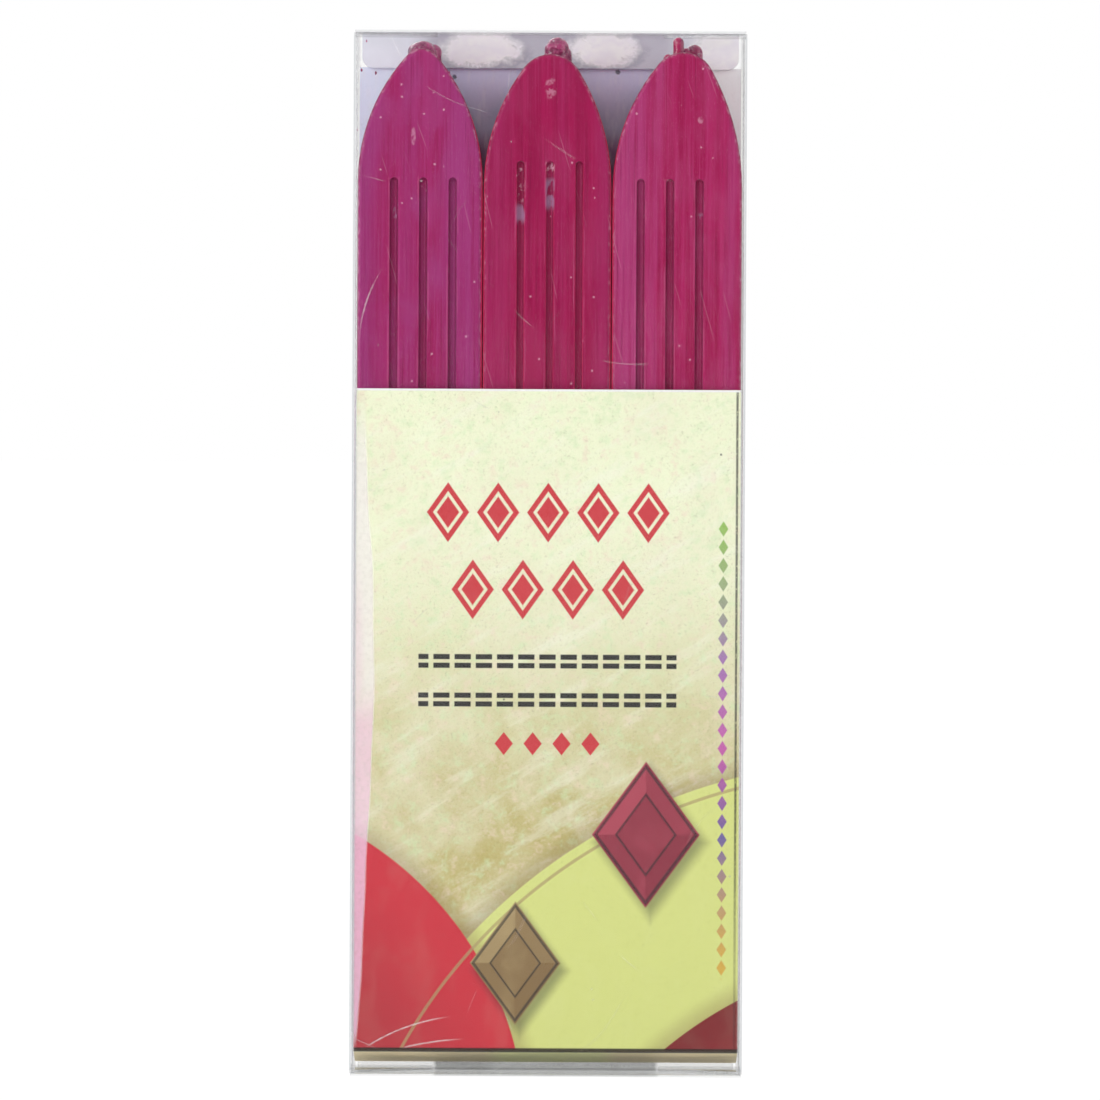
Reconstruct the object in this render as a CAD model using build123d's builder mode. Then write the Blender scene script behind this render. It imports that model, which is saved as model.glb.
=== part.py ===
from build123d import *
import os

# Clear carton, millimetres
# The carton stands on its bottom panel, front to -Y, lid up
carton_width = 40.8
carton_depth = 11.4
carton_height = 108.6
sheet_thickness = 0.25
fold_radius = 0.6
crease_gap = 0.05

# Closures of the carton
lid_side_gap = 0.1
lid_corner_radius = 0.6
tuck_wall_gap = 0.1
tuck_length = 3.7
tuck_side_gap = 0.7
tuck_corner_radius = 1.2
tuck_lean_angle = 11
dust_flap_length = 8.5
dust_flap_front_gap = 0.5
dust_flap_back_gap = 1.3
dust_flap_taper = 5.0
dust_flap_corner_radius = 0.8

# Glued lap on the inside of the back wall
lap_width = 7.0
lap_end_gap = 4.5
lap_end_taper = 2.0

# Folded card insert
card_thickness = 0.35
card_fold_radius = 0.5
card_side_gap = 0.2
card_front_gap = 0.15
card_back_gap = 0.12
card_front_height = 68.8
card_fold_height = 2.6
card_floor_gap = 0.2
card_head_room = 3.4

# Wax sticks
stick_gap = 0.15
stick_side_gap = 0.18
stick_front_gap = 0.45
stick_back_gap = 0.48
stick_seat_gap = 0.1
stick_edge_radius = 0.5
groove_radius = 0.43
groove_pitch = 3.05
groove_count = 3
groove_bottom_margin = 6.0

# Wicks and the wax-coated ends that stand out of the tips
wick_radius = 1.1
nub_skirt = 0.2

# One row for each stick, from left to right
stick_names = ["left", "middle", "right"]
stick_width_extras = [-0.26, 0.03, 0.23]

# Pointed arches of the tips, before their points are rounded
tip_rooms = [0.8, 0.31, 0.1]
tip_shifts = [0.15, 0.5, 1.05]
arch_rises = [14.66, 15.65, 16.1]
arch_tip_radii = [2.0, 3.4, 3.3]

# Grooves, with their tops measured down from the points of the arches
groove_top_drops = [14.66, 13.4, 15.4]
groove_shifts = [0.35, 0.25, -0.77]

# Wicks, with the depths that the nubs are sunk below the points of the arches
wick_shifts = [0.35, 0.95, 0.3]
nub_sinks = [2.86, 4.2, 4.6]

# Each lump of a nub: sideways offset, depth offset, radius, top below the lid
nub_lumps = [
    [(-0.15, 0.0, 1.6, 0.75), (-0.8, 0.5, 0.95, 0.95), (0.95, 0.3, 0.85, 1.1)],
    [(0.0, 0.0, 1.2, 0.3), (0.55, 0.2, 0.95, 1.2), (-0.45, -0.2, 0.9, 0.75)],
    [(-0.25, -1.6, 0.56, 0.3), (1.4, 0.2, 0.9, 1.0), (0.55, -0.1, 0.7, 1.35), (-1.3, 0.1, 0.5, 2.0)],
]

# Sizes that follow from the values above
inner_width = carton_width - 2 * sheet_thickness
inner_depth = carton_depth - 2 * sheet_thickness
half_sheet = sheet_thickness / 2
lid_inside = carton_height - sheet_thickness
lid_middle = carton_height - half_sheet
lid_crease_y = half_sheet - carton_depth / 2
tuck_crease_y = inner_depth / 2 - tuck_wall_gap - half_sheet
tuck_width = carton_width - 2 * tuck_side_gap
lid_width = carton_width - 2 * lid_side_gap
closure_step = sheet_thickness + crease_gap
dust_crease_x = carton_width / 2 - half_sheet
dust_front = -carton_depth / 2 + fold_radius + dust_flap_front_gap
dust_back = inner_depth / 2 - dust_flap_back_gap

card_front = -inner_depth / 2 + card_front_gap
card_back = inner_depth / 2 - sheet_thickness - card_back_gap
card_back_floor = 2 * closure_step + card_floor_gap
card_back_top = lid_inside - card_head_room
card_width = inner_width - 2 * card_side_gap
card_slope = (card_fold_height - card_back_floor) / (card_back - card_front)

stick_count = len(stick_names)
stick_room = inner_width - 2 * stick_side_gap
mean_stick_width = (stick_room - (stick_count - 1) * stick_gap) / stick_count
stick_widths = [mean_stick_width + extra for extra in stick_width_extras]
stick_lefts = [
    sum(stick_widths[:index]) + index * stick_gap - stick_room / 2
    for index in range(stick_count)
]
stick_centres = [left + width / 2 for left, width in zip(stick_lefts, stick_widths)]
stick_front = card_front + card_thickness + stick_front_gap
stick_back = card_back - card_thickness - stick_back_gap
stick_depth = stick_back - stick_front
stick_middle_y = (stick_front + stick_back) / 2
stick_front_drop = card_slope * (stick_front - card_front)
stick_bottom = card_fold_height - stick_front_drop + card_thickness + stick_seat_gap

os.makedirs("parts", exist_ok=True)


def save(piece, label):
    piece.part.label = label
    export_step(piece.part, "parts/" + label + ".step")


# Four walls folded from one clear sheet, with the glued lap inside the back wall
with BuildPart() as carton_sleeve:
    with BuildSketch(Plane.XY.offset(closure_step)):
        RectangleRounded(carton_width, carton_depth, fold_radius)
        RectangleRounded(inner_width, inner_depth, fold_radius - sheet_thickness, mode=Mode.SUBTRACT)
    extrude(amount=carton_height - closure_step - crease_gap)
    # the lid's crease lies on the front wall
    front_top = carton_height - closure_step
    with Locations((0, -carton_depth / 2, front_top)):
        Box(
            carton_width,
            2 * fold_radius,
            2 * sheet_thickness,
            align=(Align.CENTER, Align.CENTER, Align.MIN),
            mode=Mode.SUBTRACT,
        )
    # the side walls are a sheet lower at both ends, where the dust flaps fold in
    for side in (-1, 1):
        with Locations((side * carton_width / 2, 0, carton_height - 2 * closure_step)):
            Box(
                4 * fold_radius,
                carton_depth - 2 * fold_radius,
                2 * closure_step,
                align=(Align.CENTER, Align.CENTER, Align.MIN),
                mode=Mode.SUBTRACT,
            )
        with Locations((side * carton_width / 2, 0, 2 * closure_step)):
            Box(
                4 * fold_radius,
                carton_depth - 2 * fold_radius,
                2 * closure_step,
                align=(Align.CENTER, Align.CENTER, Align.MAX),
                mode=Mode.SUBTRACT,
            )
    # glued lap, tapered at its ends
    with BuildSketch(Plane.XZ.offset(-inner_depth / 2)):
        lap_left = -inner_width / 2 + fold_radius
        lap_low = lap_end_gap
        lap_high = carton_height - lap_end_gap
        with BuildLine():
            Polyline(
                (lap_left, lap_low),
                (lap_left + lap_width, lap_low + lap_end_taper),
                (lap_left + lap_width, lap_high - lap_end_taper),
                (lap_left, lap_high),
                close=True,
            )
        make_face()
    extrude(amount=sheet_thickness)
save(carton_sleeve, "carton_sleeve")


def closure_panel(bottom_z):
    # a lid or bottom panel with a rounded crease along its front edge
    back_edge = tuck_crease_y - half_sheet - crease_gap
    with BuildPart() as panel:
        with BuildSketch(Plane.XY.offset(bottom_z)):
            with BuildLine():
                Polyline(
                    (-lid_width / 2, lid_crease_y),
                    (lid_width / 2, lid_crease_y),
                    (lid_width / 2, back_edge),
                    (-lid_width / 2, back_edge),
                    close=True,
                )
            outline = make_face()
            fillet(outline.vertices().group_by(Axis.Y)[-1], lid_corner_radius)
        extrude(amount=sheet_thickness)
        with Locations(Location((0, lid_crease_y, bottom_z + half_sheet), (0, 90, 0))):
            Cylinder(half_sheet, lid_width)
    return panel


def tuck_flap(crease_z, upward, lean_angle):
    # a flap that turns in from the back edge of a closure panel
    flap_plane = Plane(
        origin=(0, tuck_crease_y, crease_z),
        x_dir=(1, 0, 0),
        z_dir=Vector(0, -upward, 0).rotate(Axis.X, upward * lean_angle),
    )
    with BuildPart() as flap:
        with BuildSketch(flap_plane):
            with BuildLine():
                Polyline(
                    (-tuck_width / 2, 0),
                    (tuck_width / 2, 0),
                    (tuck_width / 2, tuck_length),
                    (-tuck_width / 2, tuck_length),
                    close=True,
                )
            outline = make_face()
            fillet(outline.vertices().group_by(Axis.Y)[-1], tuck_corner_radius)
        extrude(amount=half_sheet, both=True)
        with Locations(Location((0, tuck_crease_y, crease_z), (0, 90, 0))):
            Cylinder(half_sheet, tuck_width)
    return flap


def dust_flap(side, bottom_z):
    # a side flap that lies inside the closure panel, cut back toward the panel's crease
    root_x = side * dust_crease_x
    end_x = side * (dust_crease_x - dust_flap_length)
    with BuildPart() as flap:
        with BuildSketch(Plane.XY.offset(bottom_z)):
            with BuildLine():
                Polyline(
                    (root_x, dust_front),
                    (end_x, dust_front + dust_flap_taper),
                    (end_x, dust_back),
                    (root_x, dust_back),
                    close=True,
                )
            outline = make_face()
            inner_corners = outline.vertices().group_by(Axis.X)[0 if side > 0 else -1]
            fillet(inner_corners, dust_flap_corner_radius)
        extrude(amount=sheet_thickness)
        crease_middle = (dust_front + dust_back) / 2
        with Locations(Location((root_x, crease_middle, bottom_z + half_sheet), (90, 0, 0))):
            Cylinder(half_sheet, dust_back - dust_front)
    return flap


# Lid, tuck flap and dust flaps at the top
save(closure_panel(lid_inside), "top_lid")
save(tuck_flap(lid_middle, -1, tuck_lean_angle), "top_tuck_flap")
save(dust_flap(-1, lid_inside - closure_step), "top_dust_flap_left")
save(dust_flap(1, lid_inside - closure_step), "top_dust_flap_right")

# The same closure at the bottom, glued shut
save(closure_panel(0), "bottom_panel")
save(tuck_flap(half_sheet, 1, 0), "bottom_tuck_flap")
save(dust_flap(-1, closure_step), "bottom_dust_flap_left")
save(dust_flap(1, closure_step), "bottom_dust_flap_right")

# Card folded round the sticks: short front, sloping floor and tall back
with BuildPart() as card_insert:
    with BuildSketch(Plane.YZ):
        with BuildLine() as card_path:
            FilletPolyline(
                (card_front, card_fold_height + card_front_height),
                (card_front, card_fold_height),
                (card_back, card_back_floor),
                (card_back, card_back_top),
                radius=card_fold_radius,
            )
            offset(amount=card_thickness, side=Side.RIGHT)
        make_face()
    extrude(amount=card_width / 2, both=True)
save(card_insert, "card_insert")


def wick(index):
    # a core through the stick and the lumps of its wax-coated end
    wick_x = stick_centres[index] + wick_shifts[index]
    nub_bottom = lid_inside - tip_rooms[index] - nub_sinks[index]
    core_top = nub_bottom + nub_skirt
    with BuildPart() as strand:
        with BuildSketch(Plane.XY.offset(stick_bottom)):
            with Locations((wick_x, stick_middle_y)):
                Circle(wick_radius)
        extrude(amount=core_top - stick_bottom)
        for shift_x, shift_y, radius, top_room in nub_lumps[index]:
            lump_top = lid_inside - top_room
            lump_x = wick_x + shift_x
            lump_y = stick_middle_y + shift_y
            dome_height = min(radius, lump_top - nub_bottom - nub_skirt)
            dome_radius = (radius**2 + dome_height**2) / (2 * dome_height)
            with BuildSketch(Plane.XZ.offset(-lump_y)):
                with BuildLine():
                    Polyline(
                        (lump_x, lump_top),
                        (lump_x, nub_bottom),
                        (lump_x + radius, nub_bottom),
                        (lump_x + radius, lump_top - dome_height),
                    )
                    RadiusArc((lump_x + radius, lump_top - dome_height), (lump_x, lump_top), -dome_radius)
                make_face()
            revolve(axis=Axis((lump_x, lump_y, 0), (0, 0, 1)))
    return strand


def wax_stick(index, strand):
    # a flat bar with a pointed arch for a tip and grooves down its front
    left_x = stick_lefts[index]
    right_x = left_x + stick_widths[index]
    tip_x = stick_centres[index] + tip_shifts[index]
    tip_z = lid_inside - tip_rooms[index]
    shoulder_z = tip_z - arch_rises[index]
    groove_top = tip_z - groove_top_drops[index]
    groove_bottom = stick_bottom + groove_bottom_margin
    with BuildPart() as stick:
        with BuildSketch(Plane.XZ.offset(-stick_back)):
            with BuildLine():
                Polyline(
                    (left_x, shoulder_z),
                    (left_x, stick_bottom),
                    (right_x, stick_bottom),
                    (right_x, shoulder_z),
                )
                TangentArc((right_x, shoulder_z), (tip_x, tip_z), tangent=(0, 1))
                TangentArc((left_x, shoulder_z), (tip_x, tip_z), tangent=(0, 1))
            outline = make_face()
            fillet(outline.vertices().sort_by(Axis.Y)[-1], arch_tip_radii[index])
        extrude(amount=stick_depth)
        fillet(stick.faces().sort_by(Axis.Y)[0].edges(), stick_edge_radius)
        fillet(stick.faces().sort_by(Axis.Y)[-1].edges(), stick_edge_radius)
        for groove_index in range(groove_count):
            groove_offset = (groove_index - (groove_count - 1) / 2) * groove_pitch
            groove_x = stick_centres[index] + groove_shifts[index] + groove_offset
            with Locations((groove_x, stick_front, (groove_top + groove_bottom) / 2)):
                Cylinder(groove_radius, groove_top - groove_bottom, mode=Mode.SUBTRACT)
            for end_z in (groove_bottom, groove_top):
                with Locations((groove_x, stick_front, end_z)):
                    Sphere(groove_radius, mode=Mode.SUBTRACT)
        add(strand.part, mode=Mode.SUBTRACT)
    return stick


for index, name in enumerate(stick_names):
    strand = wick(index)
    save(strand, "wick_" + name)
    save(wax_stick(index, strand), "wax_stick_" + name)
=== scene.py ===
import math

import bmesh
import bpy
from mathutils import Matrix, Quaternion, Vector, noise as mathNoise


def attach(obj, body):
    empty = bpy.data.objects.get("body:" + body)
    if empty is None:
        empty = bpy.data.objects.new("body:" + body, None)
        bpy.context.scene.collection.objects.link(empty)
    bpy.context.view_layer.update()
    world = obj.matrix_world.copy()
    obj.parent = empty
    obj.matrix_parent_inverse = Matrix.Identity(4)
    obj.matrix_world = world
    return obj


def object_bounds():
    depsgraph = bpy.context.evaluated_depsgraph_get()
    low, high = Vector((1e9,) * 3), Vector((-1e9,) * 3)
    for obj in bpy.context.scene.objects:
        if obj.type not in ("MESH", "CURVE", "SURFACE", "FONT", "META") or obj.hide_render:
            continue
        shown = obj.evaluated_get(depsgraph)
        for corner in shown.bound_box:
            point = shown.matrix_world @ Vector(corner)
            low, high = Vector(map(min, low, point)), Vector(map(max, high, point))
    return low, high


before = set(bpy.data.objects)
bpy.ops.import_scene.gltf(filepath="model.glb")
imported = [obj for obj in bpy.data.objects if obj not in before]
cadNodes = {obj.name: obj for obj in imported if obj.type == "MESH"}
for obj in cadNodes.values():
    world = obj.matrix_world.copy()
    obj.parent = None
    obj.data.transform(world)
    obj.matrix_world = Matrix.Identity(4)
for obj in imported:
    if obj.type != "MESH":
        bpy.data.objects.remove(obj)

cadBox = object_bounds()
mm = 0.001
print("frame loaded with", len(cadNodes), "nodes")


# helpers for node trees
def addNode(tree, kind, **settings):
    node = tree.nodes.new(kind)
    for key, value in settings.items():
        setattr(node, key, value)
    return node


def feed(tree, socket, value):
    # a socket takes another node's output or a plain value
    if isinstance(value, bpy.types.NodeSocket):
        tree.links.new(value, socket)
    else:
        socket.default_value = value


def calc(tree, operation, *values):
    node = addNode(tree, "ShaderNodeMath", operation=operation)
    for socket, value in zip(node.inputs, values):
        feed(tree, socket, value)
    return node.outputs[0]


def times(tree, first, second):
    return calc(tree, "MULTIPLY", first, second)


def plus(tree, first, second):
    return calc(tree, "ADD", first, second)


def minus(tree, first, second):
    return calc(tree, "SUBTRACT", first, second)


def over(tree, first, second):
    return calc(tree, "DIVIDE", first, second)


def most(tree, first, second):
    return calc(tree, "MAXIMUM", first, second)


def unsigned(tree, value):
    return calc(tree, "ABSOLUTE", value)


def squares(tree, first, second):
    return plus(tree, times(tree, first, first), times(tree, second, second))


def spread(tree, value, low, high, start=0.0, end=1.0):
    # smooth step from start to end as the value goes from low to high
    node = addNode(tree, "ShaderNodeMapRange", interpolation_type="SMOOTHSTEP")
    sockets = ("Value", "From Min", "From Max", "To Min", "To Max")
    for name, given in zip(sockets, (value, low, high, start, end)):
        feed(tree, node.inputs[name], given)
    return node.outputs["Result"]


def tint(tree, share, below, above):
    node = addNode(tree, "ShaderNodeMix", data_type="RGBA")
    feed(tree, node.inputs[0], share)
    feed(tree, node.inputs[6], below)
    feed(tree, node.inputs[7], above)
    return node.outputs[2]


def wash(tree, mask, share, below, above):
    # lays a colour thinly over another one where the mask is
    return tint(tree, times(tree, mask, share), below, above)


def stretch(tree, place, factors):
    node = addNode(tree, "ShaderNodeVectorMath", operation="MULTIPLY")
    feed(tree, node.inputs[0], place)
    feed(tree, node.inputs[1], factors)
    return node.outputs[0]


def noise(tree, place, scale, detail=3.0, rough=0.5, warp=0.0):
    node = addNode(tree, "ShaderNodeTexNoise")
    feed(tree, node.inputs["Vector"], place)
    feed(tree, node.inputs["Scale"], scale)
    node.inputs["Detail"].default_value = detail
    node.inputs["Roughness"].default_value = rough
    node.inputs["Distortion"].default_value = warp
    return node.outputs[0]


def near(tree, value, middle, half, soft):
    # 1 where the value lies within half of the middle
    gap = unsigned(tree, minus(tree, value, middle))
    return spread(tree, gap, half + soft, half - soft)


def both(tree, *masks):
    result = masks[0]
    for mask in masks[1:]:
        result = times(tree, result, mask)
    return result


def wayFrom(tree, spot, middle):
    # how far a point lies from a middle given across and up
    dx = minus(tree, spot["Across"], middle[0])
    dz = minus(tree, spot["Up"], middle[1])
    return calc(tree, "SQRT", squares(tree, dx, dz))


def oval(tree, spot, item):
    # below 1 inside an oval given by its middle across and up and its half sizes
    middleX, middleZ, halfWide, halfHigh = item
    dx = over(tree, minus(tree, spot["Across"], middleX), halfWide)
    dz = over(tree, minus(tree, spot["Up"], middleZ), halfHigh)
    return squares(tree, dx, dz)


def newMaterial(name):
    material = bpy.data.materials.new(name)
    material.use_nodes = True
    tree = material.node_tree
    tree.nodes.clear()
    return material, tree, addNode(tree, "ShaderNodeOutputMaterial").inputs["Surface"]


def plainBody(tree, surface, colour, roughness, height, bumpStrength, bumpDepth):
    # an opaque surface with a fine bump, of a strength and a depth in metres
    body = addNode(tree, "ShaderNodeBsdfPrincipled")
    feed(tree, body.inputs["Base Color"], colour)
    feed(tree, body.inputs["Roughness"], roughness)
    bump = addNode(tree, "ShaderNodeBump")
    bump.inputs["Strength"].default_value = bumpStrength
    bump.inputs["Distance"].default_value = bumpDepth
    feed(tree, bump.inputs["Height"], height)
    feed(tree, body.inputs["Normal"], bump.outputs[0])
    tree.links.new(body.outputs[0], surface)
    return body


def newGroup(name, inputs, outputs):
    group = bpy.data.node_groups.new(name, "ShaderNodeTree")
    for label, value in inputs.items():
        kind = "NodeSocketVector" if isinstance(value, tuple) else "NodeSocketFloat"
        socket = group.interface.new_socket(label, in_out="INPUT", socket_type=kind)
        socket.default_value = value
    for label in outputs:
        kind = "NodeSocketVector" if label == "Place" else "NodeSocketFloat"
        group.interface.new_socket(label, in_out="OUTPUT", socket_type=kind)
    return group, addNode(group, "NodeGroupInput").outputs, addNode(group, "NodeGroupOutput").inputs


def useGroup(tree, group, **values):
    node = addNode(tree, "ShaderNodeGroup", node_tree=group)
    for key, value in values.items():
        feed(tree, node.inputs[key], value)
    return node.outputs


# where a point lies on the pack, in millimetres, and which way its surface faces
def makePartPlace():
    outputs = ("Place", "Across", "Deep", "Up", "FaceSide", "FaceDeep", "FaceUp")
    group, _, out = newGroup("partPlace", {}, outputs)
    coords = addNode(group, "ShaderNodeTexCoord")
    place = stretch(group, coords.outputs["Object"], (1 / mm, 1 / mm, 1 / mm))
    feed(group, out["Place"], place)
    for source, labels in ((place, outputs[1:4]), (coords.outputs["Normal"], outputs[4:7])):
        split = addNode(group, "ShaderNodeSeparateXYZ")
        feed(group, split.inputs[0], source)
        for label, value in zip(labels, split.outputs):
            feed(group, out[label], value)
    return group


# broad soft patches
def makeSoftMottle():
    inputs = {"Place": (0, 0, 0), "Scale": 0.3, "Low": 0.4, "High": 0.65}
    group, given, out = newGroup("softMottle", inputs, ("Mask",))
    patches = noise(group, given["Place"], given["Scale"], 5.0, 0.55, 0.4)
    feed(group, out["Mask"], spread(group, patches, given["Low"], given["High"]))
    return group


# fine even grain, as in print, paper and cast wax
def makeFineGrain():
    group, given, out = newGroup("fineGrain", {"Place": (0, 0, 0), "Scale": 6.0}, ("Grain",))
    feed(group, out["Grain"], noise(group, given["Place"], given["Scale"], 4.0, 0.65))
    return group


# sparse bent hairlines across one direction
def makeHairScratches():
    inputs = {
        "Place": (0, 0, 0), "Direction": (1, 0, 0), "Spacing": 6.0, "Width": 0.05, "Bend": 5.0, "Share": 0.6,
    }
    group, given, out = newGroup("hairScratches", inputs, ("Mask",))
    along = addNode(group, "ShaderNodeVectorMath", operation="DOT_PRODUCT")
    feed(group, along.inputs[0], given["Place"])
    feed(group, along.inputs[1], given["Direction"])
    sway = times(group, noise(group, given["Place"], 0.045, 1.0, 0.4), given["Bend"])
    line = plus(group, along.outputs["Value"], sway)
    half = times(group, given["Spacing"], 0.5)
    offLine = unsigned(group, calc(group, "WRAP", line, half, times(group, half, -1.0)))
    thin = spread(group, offLine, given["Width"], 0.0)
    gate = noise(group, stretch(group, given["Place"], (0.21, 0.21, 0.13)), 1.0, 1.0, 0.5)
    gate = spread(group, gate, given["Share"], plus(group, given["Share"], 0.08))
    feed(group, out["Mask"], times(group, thin, gate))
    return group


# loose specks, one in some of the cells
def makeLooseSpecks():
    inputs = {"Place": (0, 0, 0), "Density": 0.5, "Size": 0.1, "Share": 0.2}
    group, given, out = newGroup("looseSpecks", inputs, ("Mask",))
    cells = addNode(group, "ShaderNodeTexVoronoi")
    feed(group, cells.inputs["Vector"], given["Place"])
    feed(group, cells.inputs["Scale"], given["Density"])
    pick = addNode(group, "ShaderNodeSeparateColor")
    feed(group, pick.inputs[0], cells.outputs["Color"])
    chosen = calc(group, "LESS_THAN", pick.outputs[0], given["Share"])
    size = times(group, given["Size"], plus(group, pick.outputs[1], 0.4))
    ragged = plus(group, noise(group, given["Place"], 5.5, 1.0, 0.7), 0.4)
    reach = times(group, cells.outputs["Distance"], ragged)
    dot = spread(group, reach, size, times(group, size, 0.5))
    feed(group, out["Mask"], times(group, dot, chosen))
    return group


partPlace = makePartPlace()
softMottle = makeSoftMottle()
fineGrain = makeFineGrain()
hairScratches = makeHairScratches()
looseSpecks = makeLooseSpecks()
print("shared finishes ready")


# wax sticks: cast raspberry wax with draw streaks, pale bloom and dusty grooves, with painted shade in the
# grooves and on the bevels, painted highlights and a painted glow
wax = {
    "groovePitch": 3.05, "grooveHalf": 0.47, "frontFace": -4.5, "frontPart": (-3.6, -3.8),
    "roughness": (0.36, 0.58), "bump": (0.7, 0.000012), "specular": 0.14,
    "streakAndGrooveShade": (0.135, 0.008, 0.042, 1), "rimHighlight": (0.56, 0.13, 0.27, 1),
    "sideLightColour": (0.62, 0.015, 0.075, 1), "bevelShadeColour": (0.16, 0.006, 0.036, 1),
    "speckColour": (0.74, 0.4, 0.54, 1), "flake": (0.7, 0.4, 0.52, 1), "film": (0.36, 0.21, 0.36, 1),
    "glowColour": (0.13, 0.006, 0.034, 1), "innerReach": 8.4,
    # heights between which chips and painted highlights grow more and the painted glow fades in
    "chipsFrom": (60.0, 98.0), "glowFrom": (98.0, 88.0),
}
# bands run the length of a stick, as middle across, half width and share
# residue in a groove is its number from the middle, low and high end, level and kind
# a smudge is its middle across and up with half sizes
waxSticks = {
    "left": {
        "deep": (0.31, 0.011, 0.095, 1), "main": (0.365, 0.019, 0.13, 1),
        "bloom": (0.365, 0.052, 0.215, 1), "bloomShare": 0.55, "grooveMiddle": -13.15, "grooveTop": 93.0,
        "bands": ((-19.2, 1.4, 0.8), (-9.0, 2.0, 0.75), (-14.6, 0.8, 0.4)),
        "bandColour": (0.345, 0.04, 0.195, 1),
        "residue": ((-1, 89.0, 92.9, 0.6, "film"), (0, 91.8, 93.0, 0.6, "flake")),
        "smudge": (-14.2, 97.6, 0.25, 0.9),
    },
    "middle": {
        "deep": (0.29, 0.003, 0.06, 1), "main": (0.365, 0.006, 0.08, 1),
        "bloom": (0.385, 0.036, 0.135, 1), "bloomShare": 0.25, "grooveMiddle": 0.0, "grooveTop": 94.6,
        "bands": ((-5.4, 1.2, 0.45), (5.7, 1.1, 0.5), (1.2, 0.5, 0.25)),
        "bandColour": (0.36, 0.022, 0.125, 1),
        "residue": (
            (-1, 91.0, 94.7, 0.53, "flake"), (-1, 88.8, 90.5, 0.36, "film"),
            (0, 90.2, 93.2, 0.4, "film"), (0, 94.0, 94.9, 0.45, "flake"),
        ),
        "smudge": (0.05, 102.6, 0.62, 1.15),
    },
    "right": {
        "deep": (0.32, 0.006, 0.07, 1), "main": (0.405, 0.014, 0.11, 1),
        "bloom": (0.44, 0.058, 0.185, 1), "bloomShare": 0.4, "grooveMiddle": 12.47, "grooveTop": 92.8,
        "bands": ((8.3, 1.5, 0.8), (10.9, 0.5, 0.4), (18.9, 0.6, 0.45)),
        "bandColour": (0.42, 0.052, 0.2, 1),
        "residue": ((0, 84.0, 91.0, 0.68, "flake"), (1, 88.0, 92.8, 0.6, "film")),
        "smudge": (15.6, 99.4, 0.3, 0.35),
    },
}


def waxGrooves(tree, spot, tone):
    # grooves, found from their places on the front face
    front = wax["frontFace"]
    halfPitch = wax["groovePitch"] / 2
    fromMiddle = minus(tree, spot["Across"], tone["grooveMiddle"])
    fromGroove = calc(tree, "WRAP", fromMiddle, halfPitch, -halfPitch)
    inRange = both(
        tree, near(tree, fromMiddle, 0.0, 3 * halfPitch, 0.05),
        spread(tree, spot["Up"], tone["grooveTop"] + 0.45, tone["grooveTop"] + 0.35),
        spread(tree, spot["Deep"], *wax["frontPart"]),
    )
    groove = both(
        tree, inRange, near(tree, fromGroove, 0.0, wax["grooveHalf"], 0.04),
        spread(tree, spot["Deep"], front + 0.02, front + 0.25),
    )
    return fromMiddle, unsigned(tree, fromGroove), inRange, groove


def waxBody(tree, spot, tone, streaks, fineStreaks, bloom):
    # streaked wax with pale bloom, long bands and fine light and dark streaks
    colour = tint(tree, spread(tree, streaks, 0.34, 0.66), tone["deep"], tone["main"])
    colour = wash(tree, bloom, tone["bloomShare"], colour, tone["bloom"])
    sway = times(tree, minus(tree, noise(tree, spot["Place"], 0.07, 2.0, 0.5), 0.5), 2.2)
    swayed = plus(tree, spot["Across"], sway)
    for middle, half, share in tone["bands"]:
        band = near(tree, swayed, middle, half, 0.7 * half)
        band = both(tree, band, spread(tree, streaks, 0.3, 0.56, 0.35, 1.0))
        colour = wash(tree, band, share, colour, tone["bandColour"])
    colour = wash(tree, spread(tree, fineStreaks, 0.52, 0.7), 0.52, colour, tone["bloom"])
    return wash(tree, spread(tree, fineStreaks, 0.46, 0.3), 0.46, colour, wax["streakAndGrooveShade"])


def waxEdges(tree, spot, colour, groove, crumbs):
    # bevels with a painted rim highlight, pale chips that are partly painted highlight, and painted shade as
    # dark lines
    facing = unsigned(tree, spot["FaceDeep"])
    offGroove = minus(tree, 1.0, groove)
    rim = both(tree, spread(tree, facing, 0.985, 0.55), spread(tree, facing, 0.04, 0.25), offGroove)
    # painted highlight along the bevels
    colour = wash(tree, rim, 0.2, colour, wax["rimHighlight"])
    higher = spread(tree, spot["Up"], *wax["chipsFrom"], 0.25, 0.8)
    # pale chips, partly painted broken highlight, growing higher up
    chips = both(tree, rim, spread(tree, crumbs, 0.52, 0.6), higher)
    colour = tint(tree, chips, colour, wax["speckColour"])
    # painted shade darkens the bevels as they turn away
    bevelShade = both(tree, rim, spread(tree, facing, 0.92, 0.66))
    colour = wash(tree, bevelShade, 0.45, colour, wax["bevelShadeColour"])
    bevelShadeLine = both(tree, rim, spread(tree, facing, 0.6, 0.3))
    return wash(tree, bevelShadeLine, 0.3, colour, wax["bevelShadeColour"])


def grooveLipHighlights(tree, spot, colour, offLine, inRange):
    # painted highlights as pale lips beside the grooves, broken along their length
    front = wax["frontFace"]
    broken = noise(tree, stretch(tree, spot["Place"], (1.5, 1.0, 0.16)), 1.0, 4.0, 0.6)
    lipHighlight = both(
        tree, inRange, near(tree, offLine, wax["grooveHalf"] + 0.07, 0.05, 0.04),
        spread(tree, broken, 0.44, 0.6), spread(tree, spot["Deep"], front + 0.25, front + 0.1),
    )
    return wash(tree, lipHighlight, 0.42, colour, wax["rimHighlight"])


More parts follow.
